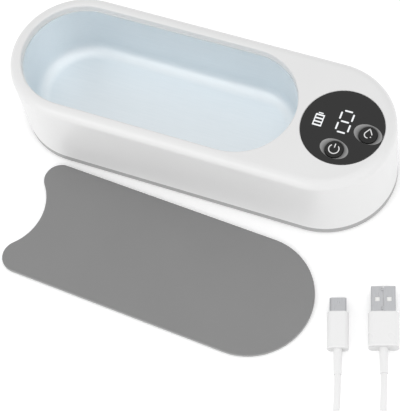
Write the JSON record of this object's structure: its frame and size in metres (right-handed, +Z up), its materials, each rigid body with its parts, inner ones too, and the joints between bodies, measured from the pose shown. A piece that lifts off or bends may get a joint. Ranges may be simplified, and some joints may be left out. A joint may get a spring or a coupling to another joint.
{
  "type": "ultrasonic jewelry cleaner",
  "caption": "Long round-ended ultrasonic cleaner with a steel tank, a lit round control panel with push buttons, a lift-off lid and a charging cable.",
  "frame": {"origin": "on the table under the middle of the body, at the underside of its rubber pad", "axes": "+X along the body towards the control panel, +Z up; the lid and the cable lie towards -Y"},
  "size_m": [0.265, 0.2206, 0.0495],
  "materials": {
    "housing_plastic": "satin white moulded shell",
    "base_plastic": "light grey moulded floor and band",
    "foot_rubber": "matt grey silicone pad",
    "screw_steel": "zinc plated screws",
    "stainless_steel": "satin drawn stainless steel",
    "seal_silicone": "translucent white silicone",
    "piezo_ceramic": "fired ceramic with a silvered face",
    "wire_sleeve": "soft wire insulation",
    "panel_gloss": "polished near-black cover",
    "lit_diffuser": "milky light guide, lit from behind",
    "white_moulding": "white moulded insulator",
    "circuit_board": "green solder resist",
    "led_resin": "pale resin",
    "black_moulding": "black moulding",
    "ferrite": "dark sintered ferrite",
    "capacitor_can": "drawn aluminium can",
    "plated_steel": "nickel plated steel",
    "ribbon_film": "flat white ribbon",
    "battery_wrap": "shrink wrapped cell",
    "foam": "closed-cell foam",
    "button_gloss": "polished near-black cap",
    "lid_plastic": "matt mid-grey moulded plate",
    "plug_plastic": "white overmoulding",
    "cable_jacket": "soft white jacket",
    "tie_silicone": "soft white strap"
  },
  "bodies": {
    "cleaner": {"upper_housing": "housing_plastic", "base_plate": "base_plastic", "rubber_pad": "foot_rubber", "case_screws": "screw_steel", "tank": "stainless_steel", "tank_seal": "seal_silicone", "transducer": "piezo_ceramic", "transducer_leads": "wire_sleeve", "panel_cover": "panel_gloss", "digit_light_guide": "lit_diffuser", "gauge_light_guide": "lit_diffuser", "display_shroud": "white_moulding", "control_board": "circuit_board", "panel_leds": "led_resin", "power_switch": "black_moulding", "mode_switch": "black_moulding", "panel_screws": "screw_steel", "driver_board": "circuit_board", "driver_screws": "screw_steel", "step_up_transformer": "ferrite", "filter_capacitors": "capacitor_can", "driver_chips": "black_moulding", "usb_c_socket": "plated_steel", "ribbon_connectors": "white_moulding", "panel_ribbon": "ribbon_film", "battery_cell": "battery_wrap", "battery_tabs": "plated_steel", "battery_pad": "foam", "battery_leads": "wire_sleeve"},
    "power_button": {"power_button": "button_gloss", "power_plunger": "black_moulding"},
    "mode_button": {"mode_button": "button_gloss", "mode_plunger": "black_moulding"},
    "lid": {"lid": "lid_plastic"},
    "charging_cable": {"usb_c_shell": "plated_steel", "usb_c_insert": "black_moulding", "usb_c_overmould": "plug_plastic", "usb_c_strain_relief": "cable_jacket", "cable_usb_c_end": "cable_jacket", "cable_coil": "cable_jacket", "cable_usb_a_end": "cable_jacket", "cable_tie": "tie_silicone", "usb_a_shell": "plated_steel", "usb_a_insert": "white_moulding", "usb_a_overmould": "plug_plastic", "usb_a_strain_relief": "cable_jacket"}
  },
  "joints": [
    {"name": "lid_lift", "type": "slide", "parent": "cleaner", "child": "lid", "axis": [0, 0, 1], "range_m": [0, 0.08]},
    {"name": "power_press", "type": "slide", "parent": "cleaner", "child": "power_button", "axis": [0, 0, -1], "range_m": [0, 0.0005], "stiffness_N_per_m": 800, "springref_m": -0.001},
    {"name": "mode_press", "type": "slide", "parent": "cleaner", "child": "mode_button", "axis": [0, 0, -1], "range_m": [0, 0.0005], "stiffness_N_per_m": 800, "springref_m": -0.001},
    {"name": "cable_lift", "type": "slide", "parent": "cleaner", "child": "charging_cable", "axis": [0, 0, 1], "range_m": [0, 0.08]}
  ]
}
